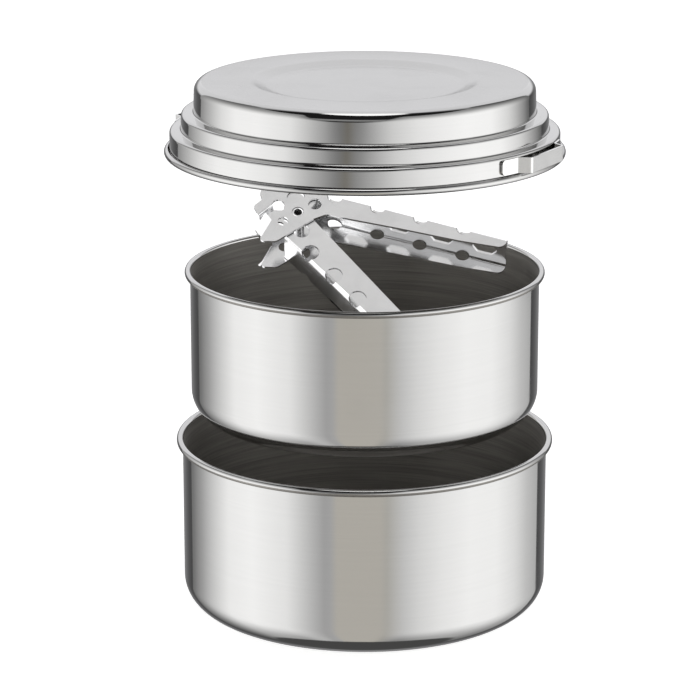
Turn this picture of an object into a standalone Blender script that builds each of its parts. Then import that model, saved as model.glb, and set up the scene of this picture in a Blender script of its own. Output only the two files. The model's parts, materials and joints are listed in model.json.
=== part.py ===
"""Nesting camping cook set: two steel pots, a stepped lid and a folding pot gripper.

Metres, +Z up. The large pot stands on z = 0 with its axis on Z. The small pot, the
gripper and the lid hover above it in the order they come out of the packed set.
"""
import math

import bmesh
import bpy
from mathutils import Matrix, Vector

for old in list(bpy.data.objects):
    bpy.data.objects.remove(old, do_unlink=True)

MM = 0.001
SEGMENTS = 48          # facets around every turned piece
GAP = 0.3              # mm left between a piece and the one that it rests on

# sheet thicknesses, mm
STEEL = 0.5
STRAP = 1.0
ALU = 1.2

# large pot, mm
LARGE_R = 88.25
LARGE_H = 84.2
LARGE_CORNER = 14.0
LARGE_CURL = 1.45

# small pot, mm
SMALL_R = 83.6
SMALL_H = 73.1
SMALL_CORNER = 14.0
SMALL_CURL = 1.3
SMALL_BASE_Z = 94.3

# lid, mm
LID_BASE_Z = 223.2
LID_H = 35.0
LID_R1 = 80.9
LID_R2 = 87.1
LID_R3 = 92.5
LID_STEP1 = 15.0
LID_STEP2 = 23.1
LID_CURL = 1.35
RECESS_OUTER_R = 53.5
RECESS_FLOOR_R = 46.5
RECESS_DEPTH = 2.2

# lid straps, mm and degrees
STRAP_ANGLE = 59.5
STRAP_LOW = 3.8
STRAP_HIGH = 11.0
STRAP_STANDOFF = 97.0
STRAP_HALF = 15.3
STRAP_BEND_R = 0.8
TAB_FROM = 11.5        # each end tab lies on the skirt between these two angles
TAB_TO = 17.8

# gripper, mm and degrees; the local frame has its origin on the pivot axis half way
# between the side plates, x along the set's X, y up the plates, z along the pivot
GRIP_ORIGIN = (-32.5, 37.5, 178.6)
GRIP_TILT = 40.9
OUTER_HALF = 11.5
PLATE_GAP = 0.5
BEND_R = 3.0
OUTER_FOLD_ANGLE = -16.75
OUTER_FOLD = 14.4
OUTER_WEB_START = 2.0
OUTER_LENGTH = 102.0
WINDOW_CORNERS = ((-6.5, 0.0), (-3.7, -4.3), (3.7, -4.3), (6.5, 0.0), (3.7, 4.3), (-3.7, 4.3))
INNER_FOLD_ANGLE = -49.6
INNER_FOLD = 13.2
INNER_WEB_START = 5.5
RIVET_R = 2.8
RIVET_BORE = 1.9


def make_material(name, colour, roughness):
    mat = bpy.data.materials.new(name)
    mat.use_nodes = True
    shader = mat.node_tree.nodes["Principled BSDF"]
    shader.inputs["Base Color"].default_value = (*colour, 1.0)
    shader.inputs["Metallic"].default_value = 1.0
    shader.inputs["Roughness"].default_value = roughness
    return mat


def add_object(name, mesh, colour, roughness, parent=None):
    obj = bpy.data.objects.new(name, mesh)
    bpy.context.scene.collection.objects.link(obj)
    mesh.materials.clear()
    mesh.materials.append(make_material(name + "_metal", colour, roughness))
    for poly in mesh.polygons:
        poly.use_smooth = True
    mesh.set_sharp_from_angle(angle=math.radians(32))
    if parent is not None:
        obj.parent = parent
    return obj


def finish(bm, name):
    bmesh.ops.recalc_face_normals(bm, faces=bm.faces)
    mesh = bpy.data.meshes.new(name)
    bm.to_mesh(mesh)
    bm.free()
    return mesh


def fillet_path(corners, steps=3):
    """Polyline through (x, y, radius) corners with each corner rounded."""
    path = [Vector(corners[0][:2])]
    for before, here, after in zip(corners, corners[1:], corners[2:]):
        corner = Vector(here[:2])
        radius = here[2]
        if radius <= 0:
            path.append(corner)
            continue
        back = (Vector(before[:2]) - corner).normalized()
        ahead = (Vector(after[:2]) - corner).normalized()
        half = back.angle(ahead) / 2
        reach = radius / math.tan(half)
        centre = corner + (back + ahead).normalized() * (radius / math.sin(half))
        start = corner + back * reach - centre
        sweep = start.angle_signed(corner + ahead * reach - centre)
        for i in range(steps + 1):
            a = -sweep * i / steps
            turned = Vector((start.x * math.cos(a) - start.y * math.sin(a),
                             start.x * math.sin(a) + start.y * math.cos(a)))
            path.append(centre + turned)
    path.append(Vector(corners[-1][:2]))
    return path


def arc(cx, cy, radius, start_deg, end_deg, steps):
    points = []
    for i in range(steps + 1):
        a = math.radians(start_deg + (end_deg - start_deg) * i / steps)
        points.append(Vector((cx + radius * math.cos(a), cy + radius * math.sin(a))))
    return points


def offset_path(path, distance):
    """The polyline moved to its left by distance, with mitred corners."""
    moved = []
    for i, point in enumerate(path):
        normals = []
        if i > 0:
            d = (point - path[i - 1]).normalized()
            normals.append(Vector((-d.y, d.x)))
        if i < len(path) - 1:
            d = (path[i + 1] - point).normalized()
            normals.append(Vector((-d.y, d.x)))
        mean = sum(normals, Vector((0.0, 0.0))).normalized()
        moved.append(point + mean * (distance / mean.dot(normals[0])))
    return moved


def sheet_loop(path, thickness):
    """Closed outline of a sheet whose middle line is path."""
    left = offset_path(path, thickness / 2)
    right = offset_path(path, -thickness / 2)
    return right + left[::-1]


def lathe(loop, segments, on_axis=True):
    """Turn a closed (radius, height) outline about Z."""
    bm = bmesh.new()
    rings = []
    for point in loop:
        if on_axis and point.x < 1e-6:
            rings.append([bm.verts.new((0, 0, point.y * MM))])
            continue
        ring = []
        for i in range(segments):
            a = 2 * math.pi * i / segments
            ring.append(bm.verts.new((point.x * math.cos(a) * MM,
                                      point.x * math.sin(a) * MM,
                                      point.y * MM)))
        rings.append(ring)
    for a, b in zip(rings, rings[1:] + rings[:1]):
        if len(a) == 1 and len(b) == 1:
            continue
        for i in range(segments):
            j = (i + 1) % segments
            if len(a) == 1:
                bm.faces.new((a[0], b[i], b[j]))
            elif len(b) == 1:
                bm.faces.new((a[i], a[j], b[0]))
            else:
                bm.faces.new((a[i], a[j], b[j], b[i]))
    return bm


def prism(loop, low, high):
    """A flat outline extruded from height low to height high."""
    bm = bmesh.new()
    bottom = [bm.verts.new((p.x * MM, p.y * MM, low * MM)) for p in loop]
    top = [bm.verts.new((p.x * MM, p.y * MM, high * MM)) for p in loop]
    bm.faces.new(bottom)
    bm.faces.new(top)
    for i in range(len(loop)):
        j = (i + 1) % len(loop)
        bm.faces.new((bottom[i], bottom[j], top[j], top[i]))
    return bm


def pot_mesh(name, radius, height, corner, curl):
    """Deep-drawn pot with a rolled-over rim, base on z = 0."""
    wall = radius - STEEL / 2
    path = fillet_path([(0, STEEL / 2, 0), (wall, STEEL / 2, corner - STEEL / 2),
                        (wall, height - STEEL / 2 - curl, 0)], 5)
    path.pop()
    path += arc(wall + curl, height - STEEL / 2 - curl, curl, 180, -98, 8)
    return finish(lathe(sheet_loop(path, STEEL), SEGMENTS), name)


def lid_mesh(name):
    """Stepped lid: recessed crown, two shoulders and a rolled outward bead."""
    mid = STEEL / 2
    top = LID_H - mid
    r1 = LID_R1 - mid
    r2 = LID_R2 - mid
    r3 = LID_R3 - mid
    path = fillet_path([
        (0, top - RECESS_DEPTH, 0),
        (RECESS_FLOOR_R, top - RECESS_DEPTH, 4.0),
        (RECESS_OUTER_R, top, 4.0),
        (r1 - 0.3, top, 4.4),
        (r1 + 0.2, LID_H - LID_STEP1 + 0.2, 1.0),
        (r2 - 0.2, LID_H - LID_STEP1 - 0.2, 1.3),
        (r2 + 0.1, LID_H - LID_STEP2 + 0.2, 1.0),
        (r3, LID_H - LID_STEP2 - 0.2, 1.3),
        (r3, mid + LID_CURL, 0)], 3)
    path.pop()
    path += arc(r3 + LID_CURL, mid + LID_CURL, LID_CURL, 180, 458, 7)
    return finish(lathe(sheet_loop(path, STEEL), SEGMENTS), name)


def strap_mesh(name):
    """Bent strap that bridges out from the lid's skirt, centred on -Y."""
    tab_r = LID_R3 + GAP + STRAP / 2
    half = []
    for i in range(4):
        a = math.radians(TAB_TO + (TAB_FROM - TAB_TO) * i / 3)
        half.append((-tab_r * math.sin(a), -tab_r * math.cos(a), 0))
    half[-1] = (*half[-1][:2], STRAP_BEND_R)
    half.append((-STRAP_HALF, -STRAP_STANDOFF, STRAP_BEND_R))
    path = fillet_path(half + [(-x, y, r) for x, y, r in half[::-1]], 2)
    loop = sheet_loop(path, STRAP)
    return finish(prism(loop, STRAP_LOW, STRAP_HIGH), name)


def temp_object(mesh):
    obj = bpy.data.objects.new("work", mesh)
    bpy.context.scene.collection.objects.link(obj)
    return obj


def combine(base, others, operation):
    """Boolean each helper mesh into base and remove the helpers."""
    for mesh in others:
        helper = temp_object(mesh)
        mod = base.modifiers.new("bool", "BOOLEAN")
        mod.operation = operation
        mod.solver = "EXACT"
        mod.object = helper
        depsgraph = bpy.context.evaluated_depsgraph_get()
        result = bpy.data.meshes.new_from_object(base.evaluated_get(depsgraph))
        base.modifiers.clear()
        base.data = result
        bpy.data.objects.remove(helper, do_unlink=True)


def cylinder_mesh(x, y, radius, low, high, segments=20):
    loop = []
    for i in range(segments):
        a = 2 * math.pi * (i + 0.5) / segments
        loop.append(Vector((x + radius * math.cos(a), y + radius * math.sin(a))))
    return finish(prism(loop, low, high), "cut")


def ball_mesh(x, y, z, radius):
    bm = bmesh.new()
    bmesh.ops.create_uvsphere(bm, u_segments=16, v_segments=9, radius=radius * MM)
    bmesh.ops.translate(bm, verts=bm.verts, vec=Vector((x, y, z)) * MM)
    return finish(bm, "cut")


def along(angle_deg, run, out):
    """Point run mm along a fold direction and out mm to its left."""
    a = math.radians(angle_deg)
    return Vector((run * math.cos(a) - out * math.sin(a),
                   run * math.sin(a) + out * math.cos(a)))


def window_mesh(run):
    """Six-sided cutter through the outer arm's web, run mm along it."""
    a = math.radians(OUTER_FOLD_ANGLE)
    c, s = math.cos(a), math.sin(a)
    loop = [Vector(corner) for corner in WINDOW_CORNERS]
    bm = prism(loop, OUTER_FOLD - 3.0, OUTER_FOLD + 2.0)
    onto_web = Matrix(((c, 0, -s, run * c * MM), (s, 0, c, run * s * MM),
                       (0, 1, 0, 0), (0, 0, 0, 1)))
    bm.transform(onto_web)
    return finish(bm, "cut")


def long_edges(bm, side, reach):
    """Edges that run flat along the line lying reach mm out in direction side."""
    found = []
    for edge in bm.edges:
        mid = (edge.verts[0].co + edge.verts[1].co) / 2 / MM
        level = abs(edge.verts[0].co.z - edge.verts[1].co.z) < 1e-7
        if level and abs(mid.x * side.x + mid.y * side.y - reach) < 0.05:
            found.append(edge)
    return found


def channel(outline, half, fold_angle, fold, web_start):
    """Folded channel: an outline extruded, then hollowed to two plates and a web."""
    bm = prism(outline, -half, half)
    sign = 1 if fold > 0 else -1
    side = along(fold_angle, 0, sign)
    folds = long_edges(bm, side, abs(fold))
    bmesh.ops.recalc_face_normals(bm, faces=bm.faces)
    bmesh.ops.bevel(bm, geom=folds, offset=BEND_R * MM, segments=4, affect="EDGES",
                    profile=0.5)
    base = temp_object(finish(bm, "channel"))
    inner = abs(fold) - ALU
    cave = [along(fold_angle, -70, -70 * sign), along(fold_angle, 150, -70 * sign),
            along(fold_angle, 150, inner * sign), along(fold_angle, web_start, inner * sign),
            along(fold_angle, web_start, 70 * sign), along(fold_angle, -70, 70 * sign)]
    bm = prism(cave, ALU - half, half - ALU)
    folds = long_edges(bm, side, inner)
    bmesh.ops.recalc_face_normals(bm, faces=bm.faces)
    bmesh.ops.bevel(bm, geom=folds, offset=(BEND_R - ALU) * MM, segments=4,
                    affect="EDGES", profile=0.5)
    combine(base, [finish(bm, "cave")], "DIFFERENCE")
    return base


def lip_mesh(start, end, level, rise, reach):
    """Bent gripping lip along the bend line start-end of a jaw plate."""
    run = (end - start).normalized()
    out = Vector((run.y, -run.x))
    mid = [(-1.0, level, 0), (0.0, level, 0.9), (reach, level + rise, 0)]
    loop = sheet_loop(fillet_path(mid, 2), ALU - 0.06)
    length = (end - start).length
    bm = bmesh.new()
    rings = []
    for s in (0.06, length - 0.06):
        ring = []
        for p in loop:
            flat = start + run * s + out * p.x
            ring.append(bm.verts.new((flat.x * MM, flat.y * MM, p.y * MM)))
        rings.append(ring)
    bm.faces.new(rings[0])
    bm.faces.new(rings[1])
    for i in range(len(loop)):
        j = (i + 1) % len(loop)
        bm.faces.new((rings[0][i], rings[0][j], rings[1][j], rings[1][i]))
    return finish(bm, "lip")


def outer_arm():
    end = along(OUTER_FOLD_ANGLE, OUTER_LENGTH, OUTER_FOLD)
    start = along(OUTER_FOLD_ANGLE, OUTER_WEB_START, OUTER_FOLD)
    corners = [
        (start.x, start.y, 0), (end.x, end.y, 0),
        (99.9, -21.3, 4.0), (78.2, -17.0, 0), (49.0, -9.7, 0), (21.8, -3.4, 6.0),
        (14.0, -1.4, 5.0), (7.9, -4.1, 0), (-10.5, -17.6, 4.0), (-18.9, -17.3, 1.6),
        (-17.5, -14.4, 0), (-12.9, -4.8, 0), (-13.2, 0.6, 2.4), (-6.6, 0.9, 1.6),
        (-6.7, 16.3, 2.6), (start.x, start.y, 0)]
    outline = fillet_path(corners, 3)[:-1]
    base = channel(outline, OUTER_HALF, OUTER_FOLD_ANGLE, OUTER_FOLD, OUTER_WEB_START)
    cuts = [cylinder_mesh(-1.1, 9.2, 4.45, -20, 20), cylinder_mesh(8.2, 4.7, 3.3, -20, 20, 16),
            cylinder_mesh(-7.2, -5.6, 2.6, -20, 20, 14),
            cylinder_mesh(0, 0, RIVET_R + 0.1, -20, 20, 24)]
    level = OUTER_HALF - ALU / 2
    for i in range(4):
        spot = along(OUTER_FOLD_ANGLE, 14.6 + 21.8 * i, OUTER_FOLD - ALU / 2)
        cuts.append(ball_mesh(spot.x, spot.y, level, 3.75))
        cuts.append(ball_mesh(spot.x, spot.y, -level, 3.75))
        cuts.append(window_mesh(25.5 + 21.8 * i))
    combine(base, cuts, "DIFFERENCE")
    low = Vector((-17.5, -14.4))
    high = Vector((-12.9, -4.8))
    lips = [lip_mesh(high, low, level, 3.9, 2.9), lip_mesh(high, low, -level, -4.3, 2.2)]
    combine(base, lips, "UNION")
    return base


def inner_arm():
    half = OUTER_HALF - ALU - PLATE_GAP
    start = along(INNER_FOLD_ANGLE, INNER_WEB_START, -INNER_FOLD)
    end = along(INNER_FOLD_ANGLE, 107.0, -INNER_FOLD)
    tip = along(INNER_FOLD_ANGLE, 108.0, -0.6)
    corners = [
        (start.x, start.y, 0), (end.x, end.y, 0), (tip.x, tip.y, 5.0),
        (7.4, -3.4, 4.0), (6.0, 3.0, 3.0), (9.2, 8.2, 1.5), (3.0, 12.2, 4.0),
        (-8.0, 15.2, 3.0), (-17.6, 16.2, 2.0), (-18.8, 12.4, 2.0), (-17.7, 8.6, 0.8),
        (-21.9, 4.6, 2.0), (-19.5, -0.4, 0), (-12.8, 6.0, 0), (-7.0, 6.0, 0),
        (-7.0, -11.8, 0), (start.x, start.y, 0)]
    outline = fillet_path(corners, 3)[:-1]
    base = channel(outline, half, INNER_FOLD_ANGLE, -INNER_FOLD, INNER_WEB_START)
    cuts = [cylinder_mesh(0, 0, RIVET_R + 0.1, -20, 20, 24),
            cylinder_mesh(2.0, -10.3, 3.9, -20, 20, 16),
            cylinder_mesh(-9.8, 5.4, 3.05, -20, 20, 18)]
    level = half - ALU / 2
    for i in range(5):
        spot = along(INNER_FOLD_ANGLE, 21.6 + 17.6 * i, 3.1 - INNER_FOLD)
        cuts.append(ball_mesh(spot.x, spot.y, level, 4.35))
        cuts.append(ball_mesh(spot.x, spot.y, -level, 4.35))
    combine(base, cuts, "DIFFERENCE")
    low = Vector((-19.5, -0.4))
    high = Vector((-12.8, 6.0))
    lips = [lip_mesh(low, high, level, -3.8, 0.7), lip_mesh(low, high, -level, 3.8, 0.7)]
    combine(base, lips, "UNION")
    return base


def rivet_mesh(name):
    """Hollow pivot rivet along local Z, both ends rolled and just under flush."""
    end = OUTER_HALF - 0.1
    loop = [Vector(p) for p in (
        (RIVET_BORE, 0.6 - end), (RIVET_BORE + 0.35, -end), (RIVET_R - 0.15, -end),
        (RIVET_R, 0.15 - end), (RIVET_R, end - 0.15), (RIVET_R - 0.15, end),
        (RIVET_BORE + 0.35, end), (RIVET_BORE, end - 0.6))]
    return finish(lathe(loop, 24, on_axis=False), name)


steel = (0.62, 0.61, 0.59)
alu = (0.78, 0.78, 0.79)

add_object("large_pot", pot_mesh("large_pot", LARGE_R, LARGE_H, LARGE_CORNER, LARGE_CURL),
           steel, 0.22)

small_pot = add_object(
    "small_pot", pot_mesh("small_pot", SMALL_R, SMALL_H, SMALL_CORNER, SMALL_CURL),
    steel, 0.22)
small_pot.location = (0, 0, SMALL_BASE_Z * MM)

lid_axis = bpy.data.objects.new("lid_axis", None)
bpy.context.scene.collection.objects.link(lid_axis)
lid_axis.location = (0, 0, LID_BASE_Z * MM)
add_object("lid_shell", lid_mesh("lid_shell"), steel, 0.22, lid_axis)
for label, turn in (("front", STRAP_ANGLE), ("back", STRAP_ANGLE + 180)):
    strap = add_object("lid_bracket_" + label, strap_mesh("lid_bracket_" + label),
                       steel, 0.25, lid_axis)
    strap.rotation_euler = (0, 0, math.radians(turn))

pivot = bpy.data.objects.new("gripper_pivot", None)
bpy.context.scene.collection.objects.link(pivot)
pivot.matrix_world = (Matrix.Translation(Vector(GRIP_ORIGIN) * MM)
                      @ Matrix.Rotation(math.radians(GRIP_TILT), 4, "X"))
for name, builder in (("gripper_outer_arm", outer_arm), ("gripper_inner_arm", inner_arm)):
    made = builder()
    mesh = made.data
    mesh.name = name
    bpy.data.objects.remove(made, do_unlink=True)
    add_object(name, mesh, alu, 0.35, pivot)
add_object("gripper_pivot_rivet", rivet_mesh("gripper_pivot_rivet"), alu, 0.3, pivot)
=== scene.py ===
import json
import math

import bmesh
import bpy
from mathutils import Matrix, Vector

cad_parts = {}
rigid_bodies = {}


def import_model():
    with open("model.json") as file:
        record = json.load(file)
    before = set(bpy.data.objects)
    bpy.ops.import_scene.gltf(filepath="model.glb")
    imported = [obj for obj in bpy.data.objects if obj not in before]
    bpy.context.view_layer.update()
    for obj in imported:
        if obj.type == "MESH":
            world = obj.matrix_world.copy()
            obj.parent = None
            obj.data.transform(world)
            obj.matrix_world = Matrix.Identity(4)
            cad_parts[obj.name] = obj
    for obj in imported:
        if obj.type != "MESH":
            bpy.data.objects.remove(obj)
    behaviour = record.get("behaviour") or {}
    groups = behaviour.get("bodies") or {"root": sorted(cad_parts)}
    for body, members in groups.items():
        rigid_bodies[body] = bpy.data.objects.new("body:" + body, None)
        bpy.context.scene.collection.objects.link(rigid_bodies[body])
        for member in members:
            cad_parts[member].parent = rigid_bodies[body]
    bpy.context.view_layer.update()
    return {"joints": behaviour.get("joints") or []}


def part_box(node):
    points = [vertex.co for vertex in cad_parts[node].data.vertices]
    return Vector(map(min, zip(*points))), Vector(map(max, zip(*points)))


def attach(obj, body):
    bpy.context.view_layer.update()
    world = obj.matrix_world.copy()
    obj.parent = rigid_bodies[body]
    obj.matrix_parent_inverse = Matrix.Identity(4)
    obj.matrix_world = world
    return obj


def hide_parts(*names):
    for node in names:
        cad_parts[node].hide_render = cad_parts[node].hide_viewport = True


# Looks of the nesting camping cook set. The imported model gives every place, size and
# joint; each piece below is a finer mesh of one of its nodes. Lengths are in mm until
# a mesh is made.

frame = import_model()

MM = 0.001
SEGMENTS = 256         # facets around every turned piece
HAIR = 0.001           # mm, keeps the lid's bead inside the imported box

# sheets and rims, mm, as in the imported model
STEEL = 0.5
STRAP = 1.0
ALU = 1.2
POT_CORNER = 14.0
LARGE_CURL = 1.45
SMALL_CURL = 1.3
LID_CURL = 1.35

# pot profile, mm and degrees
FLOOR_RINGS = (0.0, 20.0, 40.0, 60.0)    # radii of the rings across the flat floor
WALL_RINGS = (1.0, 0.6)    # rings this far inside the wall's ends keep its shading straight
POT_CURL_END = -120        # the rim rolls from 180, at the wall, over the top to here

# lid profile, mm and degrees: the walls' radii below the bead's, and the shoulders' depths
LID_WALLS_IN = (14.3, 8.1, 2.7)
LID_STEPS = (15.0, 23.1)
RECESS_OUTER_R = 53.5
RECESS_FLOOR_R = 46.5
RECESS_DEPTH = 2.2
RECESS_CORNER = 9.0
CROWN_CORNER = 4.4
STEP_FOOT = 1.0        # corner between a wall and the shoulder below it
STEP_EDGE = 1.3        # corner between a shoulder and the wall below it
LID_CURL_END = 458     # the bead rolls from 180, at the wall, under and out to here
CROWN_IN = 3.5         # the satin crown ends this far inside the top wall

# lid straps, mm and degrees
STRAP_LOW = 3.8
STRAP_HIGH = 11.0
STRAP_GAP = 0.3
STRAP_STANDOFF = 97.0
STRAP_HALF = 15.3
STRAP_BEND_R = 0.9
STRAP_TURN = 59.5      # the rolling grain's direction, along the front strap
TAB_FROM = 11.5
TAB_TO = 17.8
TAB_CORNER = 1.9
TAB_POINTS = 15
WELD_R = 0.85
WELD_DEPTH = 0.3
WELD_FROM_END = 3.1
STRAP_SPACING = 0.45   # between the points along a strap
STRAP_ROWS = 17        # points across it

# gripper, mm and degrees, in a local frame on the pivot: x along X, y up the side
# plates, z along the pivot
OUTER_HALF = 11.5
PLATE_GAP = 0.5
BEND_R = 3.0
OUTER_FOLD_ANGLE = -16.75
OUTER_FOLD = 14.4
OUTER_WEB_START = 2.0
OUTER_LENGTH = 102.0
OUTER_HOLES = 4        # on each fold, with as many windows in the web
OUTER_HOLE_R = 3.75
OUTER_FIRST_HOLE = 14.6
OUTER_FIRST_WINDOW = 25.5
OUTER_PITCH = 21.8
OUTER_JAW = (Vector((-12.9, -4.8)), Vector((-17.5, -14.4)))
INNER_FOLD_ANGLE = -49.6
INNER_FOLD = 13.2
INNER_WEB_START = 5.5
INNER_LENGTH = 107.0
INNER_HOLES = 5
INNER_HOLE_R = 4.35
INNER_HOLE_IN = 3.1    # from the web's outside to the hole's centre
INNER_FIRST_HOLE = 21.6
INNER_PITCH = 17.6
INNER_JAW = (Vector((-19.5, -0.4)), Vector((-12.8, 6.0)))
RIVET_R = 2.8
RIVET_BORE = 1.9
RIVET_PLAY = 0.1       # around the rivet, and below flush at its ends
RIVET_FACETS = 64
LIP_SINK = 0.06        # keeps a lip's faces off those of its plate
LIP_BEND_R = 0.9
EDGE_SOFTENING = 0.12

# A window has six sides. The outline starts and ends in the middle of one side, so that
# all its corners are rounded.
WINDOW_CORNERS = ((0.0, 4.3), (-3.7, 4.3), (-6.5, 0.0), (-3.7, -4.3), (3.7, -4.3),
                  (6.5, 0.0), (3.7, 4.3), (0.0, 4.3))
WINDOW_CORNER_R = 1.2

# Camera, in metres and degrees, with the lens in mm. It looks at a point that is a little
# left of and below the set's middle.
CAMERA_DISTANCE = 1.5
CAMERA_ELEVATION = 15.2
CAMERA_TARGET_Z = 0.1382
CAMERA_LEFT = 0.0070
CAMERA_DOWN = 0.0119
CAMERA_LENS = 160.2

# Studio, in degrees. Azimuth 0 is towards the camera and grows to its right. The two
# softboxes almost meet at GAP_AZIMUTH, and they end at BOX_END on both sides.
GAP_AZIMUTH = -11.0
BOX_END = 142.0
BOX_TOP = 52.0         # their top edge away from the gap
BOX_CORNER = 11.0      # radius of their outer corners
BOX_EDGE = 0.7         # half the width of their soft outline
BOX_RADIANCE = 1.40
BOX_FADE_UP = 0.28     # their share of brightness at the top edge
BOX_FADE_DOWN = 0.40   # and far below
GAP_WARM = (0.465, 0.445, 0.405)
GAP_WARM_RIGHT = (0.43, 0.42, 0.39)
GAP_DARK = (0.19, 0.18, 0.16)

# The softboxes' brightness against azimuth, below and above the band SEAM of elevations
SEAM = (-15.0, -13.2)
LOW_BAND = [
    (-180, 0.17), (-139, 0.17), (-125, 0.36), (-110, 0.65), (-95, 0.93), (-75, 1.0),
    (-50, 0.86), (-32, 0.50), (-25, 0.38), (-21, 0.40), (-17, GAP_WARM), (10, GAP_WARM),
    (14, GAP_WARM_RIGHT), (25, 0.59), (35, 0.73), (50, 0.87), (70, 0.98), (92, 0.96),
    (110, 0.79), (125, 0.56), (139, 0.43), (180, 0.43)]
HIGH_BAND = [
    (-180, 0.26), (-139, 0.29), (-125, 0.51), (-110, 0.80), (-95, 0.98), (-75, 1.0),
    (-50, 0.86), (-32, 0.49), (-24, 0.35), (-16, 0.22), (-11, GAP_DARK), (-5, 0.28),
    (6, 0.45), (18, 0.68), (35, 0.86), (50, 0.95), (70, 1.04), (92, 1.02), (110, 0.75),
    (125, 0.41), (139, 0.15), (180, 0.15)]

# brightness of the room around the softboxes
WINGS_NEAR = 0.09      # behind the set: next to the softboxes
WINGS_FAR = 0.32       # and straight behind it
WINGS_COLOUR = (1.0, 1.0, 1.02)
BACKDROP = (0.90, 0.90, 0.92, 1.0)
FRONT_DARK = 0.015     # above the gap, towards the camera
FRONT_FILL = 0.32
BELOW_DARK = 0.09
TOP_LIGHT = 1.6

# brightness of the panels for the pieces in the shade
GRIPPER_TOP_CARD = 0.53
GRIPPER_LEFT_CARD = 1.0
GRIPPER_FRONT_CARD = 0.32
SMALL_POT_CARD = 0.20
LARGE_POT_CARD = 0.15
CARD_ABOVE_RIM = 0.003
CARD_INSIDE_RIM = 0.006
FLOOR_GLOW = 0.72


# ---------------------------------------------------------------- outlines and meshes

def fillet_path(corners, steps):
    """Polyline through (x, y, radius) corners with each corner rounded."""
    path = [Vector(corners[0][:2])]
    for before, here, after in zip(corners, corners[1:], corners[2:]):
        corner = Vector(here[:2])
        radius = here[2]
        if radius <= 0:
            path.append(corner)
            continue
        back = (Vector(before[:2]) - corner).normalized()
        ahead = (Vector(after[:2]) - corner).normalized()
        half = back.angle(ahead) / 2
        reach = radius / math.tan(half)
        centre = corner + (back + ahead).normalized() * (radius / math.sin(half))
        start = corner + back * reach - centre
        sweep = start.angle_signed(corner + ahead * reach - centre)
        for i in range(steps + 1):
            a = -sweep * i / steps
            path.append(centre + Vector((start.x * math.cos(a) - start.y * math.sin(a),
                                         start.x * math.sin(a) + start.y * math.cos(a))))
    path.append(Vector(corners[-1][:2]))
    return path


def arc(cx, cy, radius, start_deg, end_deg, steps):
    """Points of a circular arc, both ends included."""
    points = []
    for i in range(steps + 1):
        a = math.radians(start_deg + (end_deg - start_deg) * i / steps)
        points.append(Vector((cx + radius * math.cos(a), cy + radius * math.sin(a))))
    return points


def offset_path(path, distance):
    """The polyline moved to its left by distance, with mitred corners."""
    moved = []
    for i, point in enumerate(path):
        normals = []
        if i > 0:
            d = (point - path[i - 1]).normalized()
            normals.append(Vector((-d.y, d.x)))
        if i < len(path) - 1:
            d = (path[i + 1] - point).normalized()
            normals.append(Vector((-d.y, d.x)))
        mean = sum(normals, Vector((0.0, 0.0))).normalized()
        moved.append(point + mean * (distance / mean.dot(normals[0])))
    return moved


def mesh_from(bm, name):
    """Finished mesh of a bmesh, with its faces turned outwards."""
    bmesh.ops.recalc_face_normals(bm, faces=bm.faces)
    mesh = bpy.data.meshes.new(name)
    bm.to_mesh(mesh)
    bm.free()
    return mesh


def turned_sheet(name, path, zone_of):
    """Sheet metal turned about Z from its middle line. zone_of(side, point) picks the
    material of a face: side is 1 on the path's left and -1 on its right."""
    sides = [(p, -1) for p in offset_path(path, -STEEL / 2)]
    sides += [(p, 1) for p in offset_path(path, STEEL / 2)[::-1]]
    bm = bmesh.new()
    rings = []
    for point, _ in sides:
        if point.x < 1e-6:
            rings.append([bm.verts.new((0, 0, point.y * MM))])
            continue
        ring = []
        for i in range(SEGMENTS):
            a = 2 * math.pi * i / SEGMENTS
            ring.append(bm.verts.new((point.x * math.cos(a) * MM,
                                      point.x * math.sin(a) * MM, point.y * MM)))
        rings.append(ring)
    for k, low in enumerate(rings):
        high = rings[(k + 1) % len(rings)]
        if len(low) == 1 and len(high) == 1:
            continue
        middle = (sides[k][0] + sides[(k + 1) % len(sides)][0]) / 2
        zone = zone_of(sides[k][1], middle)
        for i in range(SEGMENTS):
            j = (i + 1) % SEGMENTS
            corners = [low[0]] if len(low) == 1 else [low[i], low[j]]
            corners += [high[0]] if len(high) == 1 else [high[j], high[i]]
            bm.faces.new(corners).material_index = zone
    return mesh_from(bm, name)


def prism(loop, low, high):
    """Closed outline extruded along Z, as a bmesh."""
    bm = bmesh.new()
    bottom = [bm.verts.new((p.x * MM, p.y * MM, low * MM)) for p in loop]
    top = [bm.verts.new((p.x * MM, p.y * MM, high * MM)) for p in loop]
    bm.faces.new(bottom)
    bm.faces.new(top)
    for i in range(len(loop)):
        j = (i + 1) % len(loop)
        bm.faces.new((bottom[i], bottom[j], top[j], top[i]))
    return bm


def new_object(name, mesh, materials, sharp_deg=30):
    """Smooth-shaded object whose edges steeper than sharp_deg stay sharp."""
    obj = bpy.data.objects.new(name, mesh)
    bpy.context.scene.collection.objects.link(obj)
    for material in materials:
        mesh.materials.append(material)
    for poly in mesh.polygons:
        poly.use_smooth = True
    mesh.set_sharp_from_angle(angle=math.radians(sharp_deg))
    return obj


def add_piece(obj, body, node):
    """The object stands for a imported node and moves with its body."""
    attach(obj, body)
    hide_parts(node)


# ------------------------------------------------------------------- material building

def put(tree, socket, value):
    """Link a socket, or set a plain value, into an input."""
    if isinstance(value, bpy.types.NodeSocket):
        tree.links.new(value, socket)
    else:
        socket.default_value = value


def calc(tree, operation, a, b=0.0):
    """Arithmetic on sockets or numbers."""
    node = tree.nodes.new("ShaderNodeMath")
    node.operation = operation
    for socket, value in zip(node.inputs, (a, b)):
        put(tree, socket, value)
    return node.outputs[0]


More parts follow.
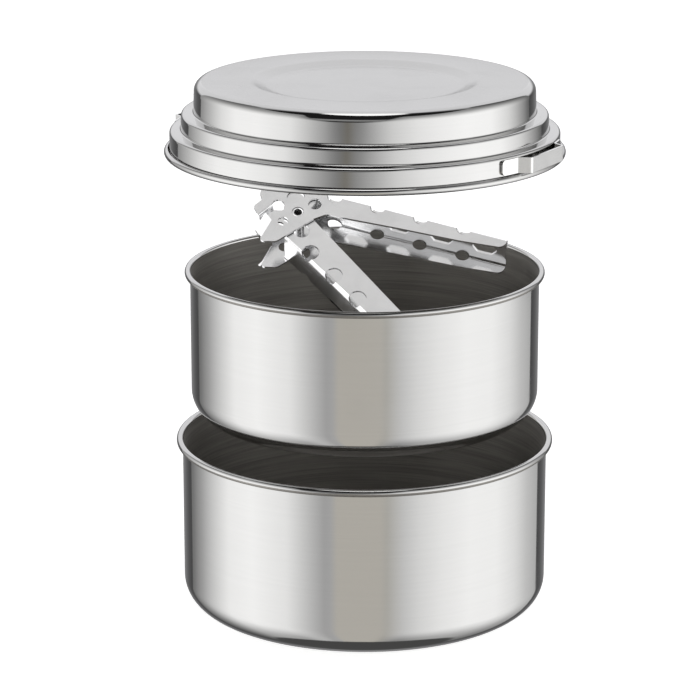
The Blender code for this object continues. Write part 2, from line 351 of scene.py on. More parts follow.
def vector_calc(tree, operation, a, b=(0.0, 0.0, 0.0), scale=None):
    """Arithmetic on vectors, by a second vector or by a scale."""
    node = tree.nodes.new("ShaderNodeVectorMath")
    node.operation = operation
    put(tree, node.inputs[0], a)
    if scale is None:
        put(tree, node.inputs[1], b)
    else:
        put(tree, node.inputs["Scale"], scale)
    return node.outputs[0]


def remap(tree, value, from_low, from_high, to_low=0.0, to_high=1.0, smooth=True):
    """Value taken from one range to another and held at its ends."""
    node = tree.nodes.new("ShaderNodeMapRange")
    node.interpolation_type = "SMOOTHSTEP" if smooth else "LINEAR"
    for socket, item in zip(node.inputs, (value, from_low, from_high, to_low, to_high)):
        put(tree, socket, item)
    return node.outputs[0]


def blend_colours(tree, factor, a, b):
    """Colour a where factor is 0 and colour b where it is 1."""
    node = tree.nodes.new("ShaderNodeMix")
    node.data_type = "RGBA"
    put(tree, node.inputs[0], factor)
    put(tree, node.inputs[6], a)
    put(tree, node.inputs[7], b)
    return node.outputs[2]


def noise(tree, vector, scale=1.0, detail=3.0, roughness=0.5, distortion=0.0):
    """Cloudy grey pattern, about 0.3 to 0.7."""
    node = tree.nodes.new("ShaderNodeTexNoise")
    put(tree, node.inputs["Vector"], vector)
    node.inputs["Scale"].default_value = scale
    node.inputs["Detail"].default_value = detail
    node.inputs["Roughness"].default_value = roughness
    node.inputs["Distortion"].default_value = distortion
    return node.outputs["Fac"]


def grey(value):
    """Opaque colour of one brightness."""
    return (value, value, value, 1.0)


def bump(tree, height, distance, normal=None):
    """Normal tilted by a height pattern whose full range is distance metres deep."""
    node = tree.nodes.new("ShaderNodeBump")
    node.inputs["Strength"].default_value = 1.0
    node.inputs["Distance"].default_value = distance
    put(tree, node.inputs["Height"], height)
    if normal is not None:
        put(tree, node.inputs["Normal"], normal)
    return node.outputs[0]


def around_axis(tree, coordinates, turns, fineness):
    """Texture vector whose noise runs in long thin lines around Z. turns sets how often
    a line changes around the piece, and fineness how thin the lines are."""
    flat = vector_calc(tree, "MULTIPLY", coordinates, (1.0, 1.0, 0.0))
    length = tree.nodes.new("ShaderNodeVectorMath")
    length.operation = "LENGTH"
    put(tree, length.inputs[0], flat)
    split = tree.nodes.new("ShaderNodeSeparateXYZ")
    put(tree, split.inputs[0], coordinates)
    across = calc(tree, "ADD", length.outputs["Value"], split.outputs["Z"])
    lines = tree.nodes.new("ShaderNodeCombineXYZ")
    put(tree, lines.inputs["Z"], calc(tree, "MULTIPLY", across, fineness))
    unit = vector_calc(tree, "NORMALIZE", flat)
    return vector_calc(tree, "ADD", vector_calc(tree, "SCALE", unit, scale=turns),
                       lines.outputs[0])


def start_metal(name):
    """Material with an empty tree apart from a metallic shader, and object coordinates."""
    material = bpy.data.materials.new(name)
    material.use_nodes = True
    tree = material.node_tree
    shader = tree.nodes["Principled BSDF"]
    shader.inputs["Metallic"].default_value = 1.0
    coordinates = tree.nodes.new("ShaderNodeTexCoord").outputs["Object"]
    return material, tree, shader, coordinates


def turned_metal(name, tint, roughness, grain, grain_depth, smudge, anisotropy=0.0,
                 ripple=0.0, metallic=1.0):
    """Metal polished or brushed around its axis, with smudges and a few scratches.

    grain is how much darker its lines are and grain_depth how deep, in metres. ripple is
    the depth of the sheet's slow waves. anisotropy stretches highlights across the grain."""
    material, tree, shader, place = start_metal(name)
    shader.inputs["Metallic"].default_value = metallic
    fine = noise(tree, around_axis(tree, place, turns=2.2, fineness=5200.0),
                 detail=4.0, roughness=0.6)
    broad = noise(tree, around_axis(tree, place, turns=1.1, fineness=900.0),
                  roughness=0.55)
    cloud = noise(tree, place, scale=34.0, detail=4.0, roughness=0.55, distortion=0.6)
    scratch = noise(tree, around_axis(tree, place, turns=9.0, fineness=2600.0),
                    detail=1.0, roughness=0.4)
    marks = remap(tree, scratch, 0.70, 0.76)
    lines = calc(tree, "ADD", calc(tree, "MULTIPLY", fine, 0.6),
                 calc(tree, "MULTIPLY", broad, 0.4))
    dark = tuple(c * (1.0 - grain) for c in tint)
    shade = remap(tree, lines, 0.32, 0.68)
    put(tree, shader.inputs["Base Color"],
        blend_colours(tree, shade, (*dark, 1.0), (*tint, 1.0)))
    lines_rough = remap(tree, lines, 0.3, 0.7, roughness * 0.85, roughness * 1.15,
                        smooth=False)
    rough = calc(tree, "ADD", lines_rough, remap(tree, cloud, 0.42, 0.72, 0.0, smudge))
    put(tree, shader.inputs["Roughness"],
        calc(tree, "ADD", rough, calc(tree, "MULTIPLY", marks, 0.06)))
    relief = calc(tree, "SUBTRACT", lines, calc(tree, "MULTIPLY", marks, 0.5))
    normal = bump(tree, relief, grain_depth)
    if ripple > 0:
        normal = bump(tree, noise(tree, place, scale=26.0, detail=1.0), ripple, normal)
    put(tree, shader.inputs["Normal"], normal)
    if anisotropy > 0:
        shader.inputs["Anisotropic"].default_value = anisotropy
        shader.inputs["Anisotropic Rotation"].default_value = 0.25
        tangent = tree.nodes.new("ShaderNodeTangent")
        tangent.direction_type = "RADIAL"
        tangent.axis = "Z"
        put(tree, shader.inputs["Tangent"], tangent.outputs[0])
    return material


SHEET_ROUGHNESS = 0.12
SHEET_DARKEST = 0.93           # share of the tint in its darkest clouds
SHEET_GRAIN_DEPTH = 0.00002    # metres


def rolled_sheet(name, tint, grain_angle):
    """Satin sheet metal with a rolling grain along one direction of the local XY."""
    material, tree, shader, place = start_metal(name)
    mapping = tree.nodes.new("ShaderNodeMapping")
    mapping.vector_type = "TEXTURE"
    put(tree, mapping.inputs["Vector"], place)
    mapping.inputs["Rotation"].default_value = (0.0, 0.0, math.radians(grain_angle))
    fine_lines = vector_calc(tree, "MULTIPLY", mapping.outputs[0], (90.0, 3800.0, 3800.0))
    coarse_lines = vector_calc(tree, "MULTIPLY", mapping.outputs[0], (60.0, 900.0, 900.0))
    grain = noise(tree, fine_lines, roughness=0.6)
    speckle = noise(tree, place, scale=2600.0, detail=2.0)
    cloud = noise(tree, place, scale=60.0, detail=4.0, roughness=0.6, distortion=0.4)
    handled = noise(tree, coarse_lines, detail=1.0, roughness=0.4)
    scuffs = remap(tree, handled, 0.68, 0.78)
    dark = tuple(c * SHEET_DARKEST for c in tint)
    colour = blend_colours(tree, remap(tree, cloud, 0.3, 0.7), (*dark, 1.0), (*tint, 1.0))
    put(tree, shader.inputs["Base Color"], colour)
    rough = remap(tree, grain, 0.3, 0.7, SHEET_ROUGHNESS * 0.88, SHEET_ROUGHNESS * 1.12,
                  smooth=False)
    put(tree, shader.inputs["Roughness"],
        calc(tree, "ADD", rough, calc(tree, "MULTIPLY", scuffs, 0.08)))
    relief = calc(tree, "ADD", calc(tree, "MULTIPLY", grain, 0.7),
                  calc(tree, "MULTIPLY", speckle, 0.3))
    put(tree, shader.inputs["Normal"], bump(tree, relief, SHEET_GRAIN_DEPTH))
    return material


# ---------------------------------------------------------------------------- materials

STEEL_TINT = (0.634, 0.631, 0.624)
# The insides' tint is darker than the outside's: partly the brushed finish, partly painted
# shade of the hollows.
INSIDE_TINT_WITH_SHADE = (0.430, 0.412, 0.385)
STRAP_TINT = (0.900, 0.897, 0.888)
ALU_TINT = (0.800, 0.800, 0.805)

polished = turned_metal("polished_steel", STEEL_TINT, roughness=0.06, grain=0.03,
                        grain_depth=0.8e-6, smudge=0.05, ripple=30e-6)
# Brushed steel for the pots' insides and the lid's underside, its darker tint partly painted
# shade of the hollows.
brushed_inside_shaded = turned_metal("brushed_steel_inside_shaded", INSIDE_TINT_WITH_SHADE, roughness=0.42,
                              grain=0.45, grain_depth=6e-6, smudge=0.06, anisotropy=0.8,
                              metallic=0.85)
brushed_base = turned_metal("brushed_steel_base", STEEL_TINT, roughness=0.22, grain=0.12,
                            grain_depth=4e-6, smudge=0.08, anisotropy=0.4)
satin_crown = turned_metal("satin_steel_crown", STEEL_TINT, roughness=0.22, grain=0.04,
                           grain_depth=1.5e-6, smudge=0.04)
rivet_aluminium = turned_metal("rivet_aluminium", ALU_TINT, roughness=0.25, grain=0.06,
                               grain_depth=3e-6, smudge=0.05)
strap_steel = rolled_sheet("strap_steel", STRAP_TINT, STRAP_TURN)
outer_aluminium = rolled_sheet("outer_arm_aluminium", ALU_TINT, OUTER_FOLD_ANGLE)
inner_aluminium = rolled_sheet("inner_arm_aluminium", ALU_TINT, INNER_FOLD_ANGLE)


# --------------------------------------------------------------------------------- pots

# Zones of a turned sheet, in the order of its materials: its outside and bead, its
# inside, and the flat of a pot's base or of the lid's crown.
OUTSIDE, INSIDE, FLAT = 0, 1, 2


def make_pot(name, node, body, curl):
    """Deep-drawn pot with a rolled-over rim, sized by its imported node."""
    low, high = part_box(node)
    height = (high.z - low.z) / MM
    wall = high.x / MM - 2 * curl - STEEL / 2
    corner = POT_CORNER - STEEL / 2
    top = height - STEEL / 2 - curl
    path = [Vector((r, STEEL / 2)) for r in FLOOR_RINGS]
    path += fillet_path([(FLOOR_RINGS[-1], STEEL / 2, 0), (wall, STEEL / 2, corner),
                         (wall, top, 0)], steps=18)[1:-1]
    path += [Vector((wall, corner + WALL_RINGS[0])), Vector((wall, top - WALL_RINGS[1]))]
    path += arc(wall + curl, top, curl, 180, POT_CURL_END, steps=30)

    def zone_of(side, point):
        if side > 0:
            return INSIDE if point.y < top else OUTSIDE
        return FLAT if point.x < wall - corner and point.y < 1 else OUTSIDE

    mesh = turned_sheet(name, path, zone_of)
    obj = new_object(name, mesh, [polished, brushed_inside_shaded, brushed_base])
    obj.location = (0, 0, low.z)
    add_piece(obj, body, node)


make_pot("large_pot_sheet", "large_pot", "large_pot", LARGE_CURL)
make_pot("small_pot_sheet", "small_pot", "small_pot", SMALL_CURL)


# ---------------------------------------------------------------------------------- lid

def make_lid():
    """Stepped lid: recessed crown, two shoulders and a rolled outward bead. Its walls
    lean and its shoulders slope by a few tenths of a mm."""
    low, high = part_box("lid_shell")
    height = (high.z - low.z) / MM
    bead = high.x / MM - HAIR
    mid = STEEL / 2
    top = height - mid
    r1, r2, r3 = (bead - inset - mid for inset in LID_WALLS_IN)
    step1, step2 = (height - step for step in LID_STEPS)
    path = fillet_path([
        (0, top - RECESS_DEPTH, 0),
        (RECESS_FLOOR_R, top - RECESS_DEPTH, RECESS_CORNER),
        (RECESS_OUTER_R, top, RECESS_CORNER),
        (r1 - 0.3, top, CROWN_CORNER),
        (r1 + 0.2, step1 + 0.2, STEP_FOOT),
        (r2 - 0.2, step1 - 0.2, STEP_EDGE),
        (r2 + 0.1, step2 + 0.2, STEP_FOOT),
        (r3, step2 - 0.2, STEP_EDGE),
        (r3, mid + LID_CURL, 0)], steps=14)
    path.pop()
    path += arc(r3 + LID_CURL, mid + LID_CURL, LID_CURL, 180, LID_CURL_END, steps=26)

    def zone_of(side, point):
        if side < 0:
            above_bead = point.x < r3 and point.y > mid + LID_CURL
            return INSIDE if above_bead else OUTSIDE
        return FLAT if point.x < r1 - CROWN_IN else OUTSIDE

    mesh = turned_sheet("lid_sheet", path, zone_of)
    obj = new_object("lid_sheet", mesh, [polished, brushed_inside_shaded, satin_crown])
    obj.location = (0, 0, low.z)
    add_piece(obj, "lid", "lid_shell")


def strap_path():
    """Middle line of a strap, centred on -Y, from one end tab to the other."""
    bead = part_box("lid_shell")[1].x / MM
    tab_r = bead - LID_WALLS_IN[2] + STRAP_GAP + STRAP / 2
    half = []
    for i in range(TAB_POINTS):
        a = math.radians(TAB_TO + (TAB_FROM - TAB_TO) * i / (TAB_POINTS - 1))
        half.append((-tab_r * math.sin(a), -tab_r * math.cos(a), 0))
    half[-1] = (*half[-1][:2], STRAP_BEND_R)
    half.append((-STRAP_HALF, -STRAP_STANDOFF, STRAP_BEND_R))
    return fillet_path(half + [(-x, y, r) for x, y, r in half[::-1]], steps=7)


def resample(path, spacing):
    """Points at even distances along a polyline, keeping its corners."""
    points = [path[0]]
    for a, b in zip(path, path[1:]):
        count = max(1, round((b - a).length / spacing))
        points += [a.lerp(b, (i + 1) / count) for i in range(count)]
    return points


def make_strap(name, node, turn_deg):
    """Strap bent from strip, with round tab corners and a spot weld in each tab."""
    path = resample(strap_path(), STRAP_SPACING)
    runs = [0.0]
    for a, b in zip(path, path[1:]):
        runs.append(runs[-1] + (b - a).length)
    half_height = (STRAP_HIGH - STRAP_LOW) / 2
    bm = bmesh.new()
    grid = {}
    for side in (-1, 1):
        for i, point in enumerate(offset_path(path, side * STRAP / 2)):
            end = min(runs[i], runs[-1] - runs[i])
            cut = max(0.0, TAB_CORNER - end)
            reach = half_height - TAB_CORNER + math.sqrt(TAB_CORNER ** 2 - cut ** 2)
            outwards = (point - path[i]).normalized()
            for k in range(STRAP_ROWS):
                rise = reach * (2 * k / (STRAP_ROWS - 1) - 1)
                away = math.hypot(end - WELD_FROM_END, rise)
                dent = WELD_DEPTH * math.exp(-(away / WELD_R) ** 2) if side < 0 else 0.0
                spot = point - outwards * dent
                grid[side, i, k] = bm.verts.new(
                    (spot.x * MM, spot.y * MM, (STRAP_LOW + half_height + rise) * MM))
    last = len(path) - 1
    for i in range(last):
        for side in (-1, 1):
            for k in range(STRAP_ROWS - 1):
                bm.faces.new((grid[side, i, k], grid[side, i + 1, k],
                              grid[side, i + 1, k + 1], grid[side, i, k + 1]))
        for k in (0, STRAP_ROWS - 1):
            bm.faces.new((grid[-1, i, k], grid[-1, i + 1, k],
                          grid[1, i + 1, k], grid[1, i, k]))
    for i in (0, last):
        for k in range(STRAP_ROWS - 1):
            bm.faces.new((grid[-1, i, k], grid[-1, i, k + 1],
                          grid[1, i, k + 1], grid[1, i, k]))
    mesh = mesh_from(bm, name)
    mesh.transform(Matrix.Rotation(math.radians(turn_deg), 4, "Z"))
    obj = new_object(name, mesh, [strap_steel])
    soften_edges(obj)
    obj.location = (0, 0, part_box("lid_shell")[0].z)
    add_piece(obj, "lid", node)


def soften_edges(obj):
    """Tiny rounds on the sheet's cut edges, so that they catch the light."""
    mod = obj.modifiers.new("edges", "BEVEL")
    mod.width = EDGE_SOFTENING * MM
    mod.segments = 2
    mod.limit_method = "ANGLE"
    mod.angle_limit = math.radians(40)
    mod.harden_normals = True
    mod.use_clamp_overlap = True


make_lid()
for end in ("front", "back"):
    corner_low, corner_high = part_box("lid_bracket_" + end)
    centre = (corner_low + corner_high) / 2
    make_strap("strap_" + end, "lid_bracket_" + end,
               math.degrees(math.atan2(centre.x, -centre.y)))


# ------------------------------------------------------------------------------ gripper

def along(angle_deg, run, out):
    """Point run mm along a fold direction and out mm to its left."""
    a = math.radians(angle_deg)
    return Vector((run * math.cos(a) - out * math.sin(a),
                   run * math.sin(a) + out * math.cos(a)))


def round_cut(x, y, radius):
    """Round cutter through both side plates."""
    loop = arc(x, y, radius, 0, 360, steps=48)[:-1]
    return mesh_from(prism(loop, -20, 20), "cut")


def fold_cuts(spot, level, radius):
    """Ball cutters for a pair of holes on the folds, one in each side plate's level."""
    return [ball(spot, side * level, radius) for side in (1, -1)]


def ball(centre, z, radius):
    """Ball cutter around a point of the side view, z mm along the pivot."""
    bm = bmesh.new()
    bmesh.ops.create_uvsphere(bm, u_segments=40, v_segments=20, radius=radius * MM)
    bmesh.ops.translate(bm, verts=bm.verts, vec=Vector((centre.x, centre.y, z)) * MM)
    return mesh_from(bm, "cut")


def window_cut(run):
    """Six-sided cutter with rounded corners through the outer arm's web, run mm along."""
    a = math.radians(OUTER_FOLD_ANGLE)
    c, s = math.cos(a), math.sin(a)
    loop = fillet_path([(u, v, WINDOW_CORNER_R) for u, v in WINDOW_CORNERS], steps=6)[:-1]
    bm = prism(loop, OUTER_FOLD - 3.0, OUTER_FOLD + 2.0)
    onto_web = Matrix(((c, 0, -s, run * c * MM), (s, 0, c, run * s * MM),
                       (0, 1, 0, 0), (0, 0, 0, 1)))
    bm.transform(onto_web)
    return mesh_from(bm, "cut")


def combine(base, others, operation):
    """Boolean each helper mesh into base and remove the helpers."""
    for mesh in others:
        helper = bpy.data.objects.new("work", mesh)
        bpy.context.scene.collection.objects.link(helper)
        mod = base.modifiers.new("bool", "BOOLEAN")
        mod.operation = operation
        mod.solver = "EXACT"
        mod.object = helper
        depsgraph = bpy.context.evaluated_depsgraph_get()
        result = bpy.data.meshes.new_from_object(base.evaluated_get(depsgraph))
        base.modifiers.clear()
        base.data = result
        bpy.data.objects.remove(helper, do_unlink=True)


def round_folds(bm, side, reach, radius):
    """Round the two edges that run along the fold, reach mm out in direction side."""
    folds = []
    for edge in bm.edges:
        middle = (edge.verts[0].co + edge.verts[1].co) / 2 / MM
        level = abs(edge.verts[0].co.z - edge.verts[1].co.z) < 1e-7
        if level and abs(middle.x * side.x + middle.y * side.y - reach) < 0.05:
            folds.append(edge)
    bmesh.ops.recalc_face_normals(bm, faces=bm.faces)
    bmesh.ops.bevel(bm, geom=folds, offset=radius * MM, segments=10, affect="EDGES",
                    profile=0.5)


def channel(outline, half, fold_angle, fold, web_start):
    """Folded channel: an outline extruded, then hollowed to two plates and a web."""
    sign = 1 if fold > 0 else -1
    side = along(fold_angle, 0, sign)
    bm = prism(outline, -half, half)
    round_folds(bm, side, abs(fold), BEND_R)
    base = bpy.data.objects.new("channel", mesh_from(bm, "channel"))
    bpy.context.scene.collection.objects.link(base)
    inner = abs(fold) - ALU
    before, past, aside = -70, 150, 70 * sign    # well beyond the outline
    cave = [along(fold_angle, before, -aside), along(fold_angle, past, -aside),
            along(fold_angle, past, inner * sign),
            along(fold_angle, web_start, inner * sign),
            along(fold_angle, web_start, aside), along(fold_angle, before, aside)]
    bm = prism(cave, ALU - half, half - ALU)
    round_folds(bm, side, inner, BEND_R - ALU)
    combine(base, [mesh_from(bm, "cave")], "DIFFERENCE")
    return base


def lip_shape(start, end, level, rise, reach):
    """Gripping lip on a jaw plate, bent along the line start-end. level is its plate's z,
    and rise and reach are how far the lip's edge is from the bend, along z and outwards."""
    run = (end - start).normalized()
    out = Vector((run.y, -run.x))
    line = fillet_path([(-1.0, level, 0), (0.0, level, LIP_BEND_R),
                        (reach, level + rise, 0)], steps=8)
    thickness = ALU - LIP_SINK
    loop = offset_path(line, -thickness / 2) + offset_path(line, thickness / 2)[::-1]
    bm = bmesh.new()
    rings = []
    for s in (LIP_SINK, (end - start).length - LIP_SINK):
        ring = []
        for p in loop:
            flat = start + run * s + out * p.x
            ring.append(bm.verts.new((flat.x * MM, flat.y * MM, p.y * MM)))
        rings.append(ring)
    bm.faces.new(rings[0])
    bm.faces.new(rings[1])
    for i in range(len(loop)):
        j = (i + 1) % len(loop)
        bm.faces.new((rings[0][i], rings[0][j], rings[1][j], rings[1][i]))
    return mesh_from(bm, "lip")


def outer_arm():
    """Outer channel with windows in its web. Its outline runs along the web's outside,
    back under the side plates and around the jaw."""
    start = along(OUTER_FOLD_ANGLE, OUTER_WEB_START, OUTER_FOLD)
    end = along(OUTER_FOLD_ANGLE, OUTER_LENGTH, OUTER_FOLD)
    jaw_high, jaw_low = OUTER_JAW
    outline = fillet_path([
        (start.x, start.y, 0), (end.x, end.y, 0),
        (99.9, -21.3, 4.0), (78.2, -17.0, 0), (49.0, -9.7, 0), (21.8, -3.4, 6.0),
        (14.0, -1.4, 5.0), (7.9, -4.1, 0), (-10.5, -17.6, 4.0), (-18.9, -17.3, 1.6),
        (*jaw_low, 0), (*jaw_high, 0), (-13.2, 0.6, 2.4), (-6.6, 0.9, 1.6),
        (-6.7, 16.3, 2.6), (start.x, start.y, 0)], steps=10)[:-1]
    base = channel(outline, OUTER_HALF, OUTER_FOLD_ANGLE, OUTER_FOLD, OUTER_WEB_START)
    cuts = [round_cut(-1.1, 9.2, 4.45), round_cut(8.2, 4.7, 3.3),
            round_cut(-7.2, -5.6, 2.6), round_cut(0, 0, RIVET_R + RIVET_PLAY)]
    level = OUTER_HALF - ALU / 2
    for i in range(OUTER_HOLES):
        spot = along(OUTER_FOLD_ANGLE, OUTER_FIRST_HOLE + OUTER_PITCH * i,
                     OUTER_FOLD - ALU / 2)
        cuts += fold_cuts(spot, level, OUTER_HOLE_R)
        cuts.append(window_cut(OUTER_FIRST_WINDOW + OUTER_PITCH * i))
    combine(base, cuts, "DIFFERENCE")
    combine(base, [lip_shape(jaw_high, jaw_low, level, 3.9, 2.9),
                   lip_shape(jaw_high, jaw_low, -level, -4.3, 2.2)], "UNION")
    return base


def inner_arm():
    """Narrower channel that works inside the outer one, folded the other way."""
    half = OUTER_HALF - ALU - PLATE_GAP
    start = along(INNER_FOLD_ANGLE, INNER_WEB_START, -INNER_FOLD)
    end = along(INNER_FOLD_ANGLE, INNER_LENGTH, -INNER_FOLD)
    tip = along(INNER_FOLD_ANGLE, INNER_LENGTH + 1.0, -0.6)
    jaw_low, jaw_high = INNER_JAW
    outline = fillet_path([
        (start.x, start.y, 0), (end.x, end.y, 0), (tip.x, tip.y, 5.0),
        (7.4, -3.4, 4.0), (6.0, 3.0, 3.0), (9.2, 8.2, 1.5), (3.0, 12.2, 4.0),
        (-8.0, 15.2, 3.0), (-17.6, 16.2, 2.0), (-18.8, 12.4, 2.0), (-17.7, 8.6, 0.8),
        (-21.9, 4.6, 2.0), (*jaw_low, 0), (*jaw_high, 0), (-7.0, 6.0, 0),
        (-7.0, -11.8, 0), (start.x, start.y, 0)], steps=10)[:-1]
    base = channel(outline, half, INNER_FOLD_ANGLE, -INNER_FOLD, INNER_WEB_START)
    cuts = [round_cut(0, 0, RIVET_R + RIVET_PLAY), round_cut(2.0, -10.3, 3.9),
            round_cut(-9.8, 5.4, 3.05)]
    level = half - ALU / 2
    for i in range(INNER_HOLES):
        spot = along(INNER_FOLD_ANGLE, INNER_FIRST_HOLE + INNER_PITCH * i,
                     INNER_HOLE_IN - INNER_FOLD)
        cuts += fold_cuts(spot, level, INNER_HOLE_R)
    combine(base, cuts, "DIFFERENCE")
    combine(base, [lip_shape(jaw_low, jaw_high, level, -3.8, 0.7),
                   lip_shape(jaw_low, jaw_high, -level, 3.8, 0.7)], "UNION")
    return base


def rivet_mesh():
    """Hollow pivot rivet along local Z, both ends rolled and just under flush."""
    end = OUTER_HALF - RIVET_PLAY
    roll = (RIVET_R - RIVET_BORE) / 2
    loop = arc(RIVET_BORE + roll, end - roll, roll, 0, 180, steps=16)
    loop += arc(RIVET_BORE + roll, roll - end, roll, 180, 360, steps=16)
    turns = [2 * math.pi * i / RIVET_FACETS for i in range(RIVET_FACETS)]
    bm = bmesh.new()
    rings = []
    for p in loop:
        rings.append([bm.verts.new((p.x * math.cos(a) * MM, p.x * math.sin(a) * MM, p.y * MM))
                      for a in turns])
    for a, b in zip(rings, rings[1:] + rings[:1]):
        for i in range(RIVET_FACETS):
            j = (i + 1) % RIVET_FACETS
            bm.faces.new((a[i], a[j], b[j], b[i]))
    return mesh_from(bm, "rivet")


# the gripper's local frame lies on the squeeze joint's axis
squeeze = next(j for j in frame["joints"] if j["name"] == "gripper_squeeze")
tilt = math.atan2(-squeeze["axis"][1], squeeze["axis"][2])
pivot_place = Matrix.Translation(Vector(squeeze["pos_m"])) @ Matrix.Rotation(tilt, 4, "X")


def place_on_pivot(name, mesh, material, body, node):
    """Clean a mesh made on the pivot of what the cuts left on its flat faces, and put it
    on the squeeze joint's axis."""
    bm = bmesh.new()
    bm.from_mesh(mesh)
    bmesh.ops.remove_doubles(bm, verts=bm.verts, dist=0.002 * MM)
    bmesh.ops.dissolve_limit(bm, angle_limit=0.002, verts=bm.verts, edges=bm.edges)
    obj = new_object(name, mesh_from(bm, name), [material], sharp_deg=28)
    obj.matrix_world = pivot_place
    add_piece(obj, body, node)
    return obj


for label, builder, body, metal in (("outer", outer_arm, "gripper", outer_aluminium),
                                    ("inner", inner_arm, "gripper_inner", inner_aluminium)):
    work = builder()
    arm = place_on_pivot(label + "_arm_sheet", work.data, metal, body,
                         "gripper_" + label + "_arm")
    bpy.data.objects.remove(work, do_unlink=True)
    soften_edges(arm)
place_on_pivot("pivot_rivet_tube", rivet_mesh(), rivet_aluminium, "gripper",
               "gripper_pivot_rivet")


# --------------------------------------------------------------- studio: world and floor

def band(tree, turn, stops):
    """Brightness of the softboxes against azimuth: (degrees, grey or colour) stops."""
    node = tree.nodes.new("ShaderNodeValToRGB")
    put(tree, node.inputs[0],
        calc(tree, "DIVIDE", calc(tree, "ADD", turn, 180.0), 360.0))
    elements = node.color_ramp.elements
    while len(elements) < len(stops):
        elements.new(0.5)
    for element, (degrees, colour) in zip(elements, stops):
        element.position = (degrees + 180) / 360
        element.color = (*colour, 1.0) if isinstance(colour, tuple) else grey(colour)
    return node.outputs[0]


def softboxes(tree, turn, rise, from_gap, top_edge):
    """The two softboxes. They get darker from fade_from up to their top edge, and away
    from the gap also far below."""
    boxes = blend_colours(tree, remap(tree, rise, *SEAM), band(tree, turn, LOW_BAND),
                          band(tree, turn, HIGH_BAND))
    fade_from = remap(tree, from_gap, 8.0, 45.0, -6.0, 2.0)
    fade_up = remap(tree, rise, fade_from, top_edge, 1.0, BOX_FADE_UP)
    fade_down = remap(tree, rise, -62.0, -24.0, BOX_FADE_DOWN, 1.0)
    lost = calc(tree, "SUBTRACT", 1.0, fade_down)
    lost_beside_gap = calc(tree, "MULTIPLY", remap(tree, from_gap, 16.0, 42.0), lost)
    fade_down = calc(tree, "SUBTRACT", 1.0, lost_beside_gap)
    fade = calc(tree, "MULTIPLY", fade_up, fade_down)
    return vector_calc(tree, "SCALE", boxes, scale=calc(tree, "MULTIPLY", fade, BOX_RADIANCE))


def outside_boxes(tree, wide, rise, top_edge):
    """0 within the softboxes and 1 outside their rounded outline."""
    past_side = calc(tree, "SUBTRACT", wide, BOX_END - BOX_CORNER)
    past_top = calc(tree, "SUBTRACT", rise, calc(tree, "SUBTRACT", top_edge, BOX_CORNER))
    squares = [calc(tree, "POWER", calc(tree, "MAXIMUM", past, 0.0), 2.0)
               for past in (past_side, past_top)]
    away = calc(tree, "SQRT", calc(tree, "ADD", *squares))
    return remap(tree, away, BOX_CORNER - BOX_EDGE, BOX_CORNER + BOX_EDGE)


def room_around(tree, wide, rise):
    """Dark above the gap in front, with a faint fill, and a pale backdrop with dim wings
    below it behind the set."""
    wings = remap(tree, wide, BOX_END, 180.0, WINGS_NEAR, WINGS_FAR)
    behind = blend_colours(tree, remap(tree, rise, 1.0, 10.0),
                           vector_calc(tree, "SCALE", WINGS_COLOUR, scale=wings), BACKDROP)
    fill = calc(tree, "MULTIPLY", remap(tree, rise, 6.0, 10.0), remap(tree, rise, 28.0, 23.0))
    front = blend_colours(tree, fill, grey(FRONT_DARK), grey(FRONT_FILL))
    return blend_colours(tree, remap(tree, wide, 100.0, 150.0), front, behind)


def studio_world():
    """Two tall softboxes that almost meet in front, a light top and dark wings. The
    camera itself sees plain white. turn is the azimuth of a direction, wide the same to
    either side, rise its elevation and from_gap its azimuth from the gap, in degrees."""
    world = bpy.data.worlds.new("studio")
    bpy.context.scene.world = world
    world.use_nodes = True
    tree = world.node_tree
    tree.nodes.clear()
    split = tree.nodes.new("ShaderNodeSeparateXYZ")
    put(tree, split.inputs[0], tree.nodes.new("ShaderNodeTexCoord").outputs["Generated"])
    x, y, z = split.outputs
    azimuth = calc(tree, "ARCTAN2", x, calc(tree, "MULTIPLY", y, -1.0))
    turn = calc(tree, "MULTIPLY", azimuth, 180 / math.pi)
    rise = calc(tree, "MULTIPLY", calc(tree, "ARCSINE", z), 180 / math.pi)
    wide = calc(tree, "ABSOLUTE", turn)
    from_gap = calc(tree, "ABSOLUTE", calc(tree, "SUBTRACT", turn, GAP_AZIMUTH))
    top_edge = remap(tree, from_gap, 8.0, 47.0, 0.0, BOX_TOP)

    boxes = softboxes(tree, turn, rise, from_gap, top_edge)
    outside = outside_boxes(tree, wide, rise, top_edge)
    lit = blend_colours(tree, outside, boxes, room_around(tree, wide, rise))
    lit = blend_colours(tree, remap(tree, rise, -60.0, -63.0), lit, grey(BELOW_DARK))
    lit = blend_colours(tree, remap(tree, rise, 74.0, 77.0), lit, grey(TOP_LIGHT))

    seen = tree.nodes.new("ShaderNodeLightPath").outputs["Is Camera Ray"]
    colour = blend_colours(tree, seen, lit, grey(1.0))
    background = tree.nodes.new("ShaderNodeBackground")
    put(tree, background.inputs["Color"], colour)
    output = tree.nodes.new("ShaderNodeOutputWorld")
    put(tree, output.inputs["Surface"], background.outputs[0])


def card_light(name, centre, towards, size, radiance, lit_names):
    """Soft light panel for a few pieces only. It follows the first one's body, and the
    camera doesn't see it. size is a width and a height, or a disc's diameter in metres."""
    data = bpy.data.lights.new(name, "AREA")
    if isinstance(size, tuple):
        data.shape = "RECTANGLE"
        data.size, data.size_y = size
        area = size[0] * size[1]
    else:
        data.shape = "DISK"
        data.size = size
        area = math.pi * size ** 2 / 4
    data.energy = radiance * 4.0 * area    # watts of a panel with this radiance
    light = bpy.data.objects.new(name, data)
    bpy.context.scene.collection.objects.link(light)
    light.visible_camera = False
    light.parent = bpy.data.objects[lit_names[0]].parent
    light.rotation_mode = "QUATERNION"
    light.rotation_quaternion = Vector(towards).to_track_quat("-Z", "Y")
    light.location = centre
    lit = bpy.data.collections.new("lit_by_" + name)
    for piece in lit_names:
        lit.objects.link(bpy.data.objects[piece])
    light.light_linking.receiver_collection = lit


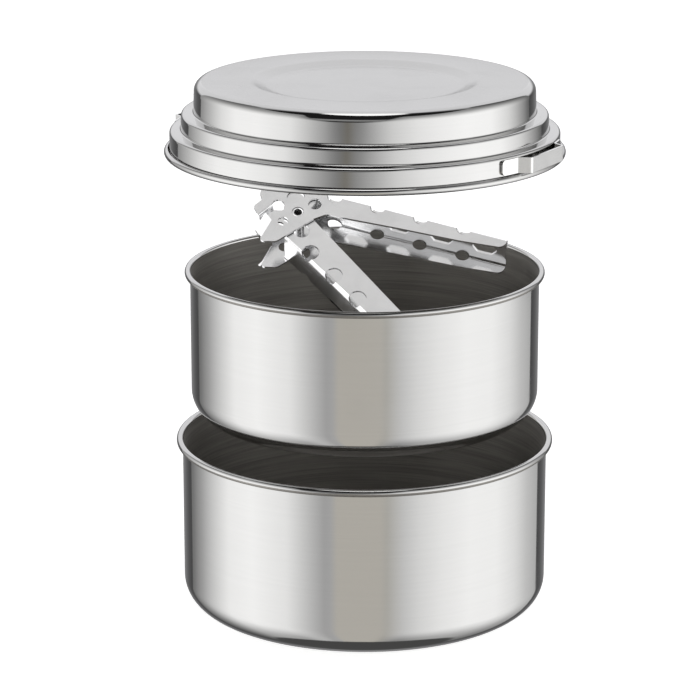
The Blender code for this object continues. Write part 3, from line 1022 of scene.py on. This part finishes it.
def shaded_piece_lights():
    """The lid hangs over the gripper and the small pot over the large one, so these get
    panels of their own in the gaps. Places and sizes are in metres, at rest."""
    gripper = ("outer_arm_sheet", "inner_arm_sheet", "pivot_rivet_tube")
    card_light("gripper_top_card", (0.010, 0.0525, 0.2110), (0, 0, -1), (0.200, 0.195),
               GRIPPER_TOP_CARD, gripper)
    card_light("gripper_left_card", (-0.060, -0.035, 0.170), (1, 0, 0), (0.160, 0.150),
               GRIPPER_LEFT_CARD, gripper)
    card_light("gripper_front_card", (0.020, -0.100, 0.215), (0, 1, 0), (0.200, 0.090),
               GRIPPER_FRONT_CARD, gripper)
    for node, radiance in (("small_pot", SMALL_POT_CARD), ("large_pot", LARGE_POT_CARD)):
        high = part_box(node)[1]
        card_light(node + "_card", (0, 0, high.z + CARD_ABOVE_RIM), (0, 0, -1),
                   2 * (high.x - CARD_INSIDE_RIM), radiance, (node + "_sheet",))


def studio_floor():
    """Plain pale floor. Shiny metal reflects the softboxes instead of it."""
    bm = bmesh.new()
    bmesh.ops.create_grid(bm, x_segments=1, y_segments=1, size=6.0)
    floor = bpy.data.objects.new("floor", mesh_from(bm, "floor"))
    bpy.context.scene.collection.objects.link(floor)
    material = bpy.data.materials.new("floor_paint")
    material.use_nodes = True
    shader = material.node_tree.nodes["Principled BSDF"]
    shader.inputs["Base Color"].default_value = grey(0.9)
    shader.inputs["Roughness"].default_value = 0.9
    shader.inputs["Emission Color"].default_value = grey(1.0)
    shader.inputs["Emission Strength"].default_value = FLOOR_GLOW
    floor.data.materials.append(material)
    floor.location = (0, 0, -0.0002)    # just under the set, so that no faces meet
    floor.visible_glossy = False


def studio_camera():
    """Long lens a little above the set."""
    data = bpy.data.cameras.new("camera")
    camera = bpy.data.objects.new("camera", data)
    bpy.context.scene.collection.objects.link(camera)
    data.sensor_width = 36.0
    data.lens = CAMERA_LENS
    data.clip_start = 0.05
    data.clip_end = 50.0
    a = math.radians(CAMERA_ELEVATION)
    middle = Vector((0, 0, CAMERA_TARGET_Z))
    camera.location = middle + Vector((0, -math.cos(a), math.sin(a))) * CAMERA_DISTANCE
    up = Vector((0, math.sin(a), math.cos(a)))
    target = middle - Vector((CAMERA_LEFT, 0, 0)) - up * CAMERA_DOWN
    camera.rotation_mode = "QUATERNION"
    camera.rotation_quaternion = (target - camera.location).to_track_quat("-Z", "Y")
    bpy.context.scene.camera = camera


studio_world()
shaded_piece_lights()
studio_floor()
studio_camera()
bpy.context.scene.view_settings.view_transform = "Standard"
bpy.context.scene.view_settings.look = "None"
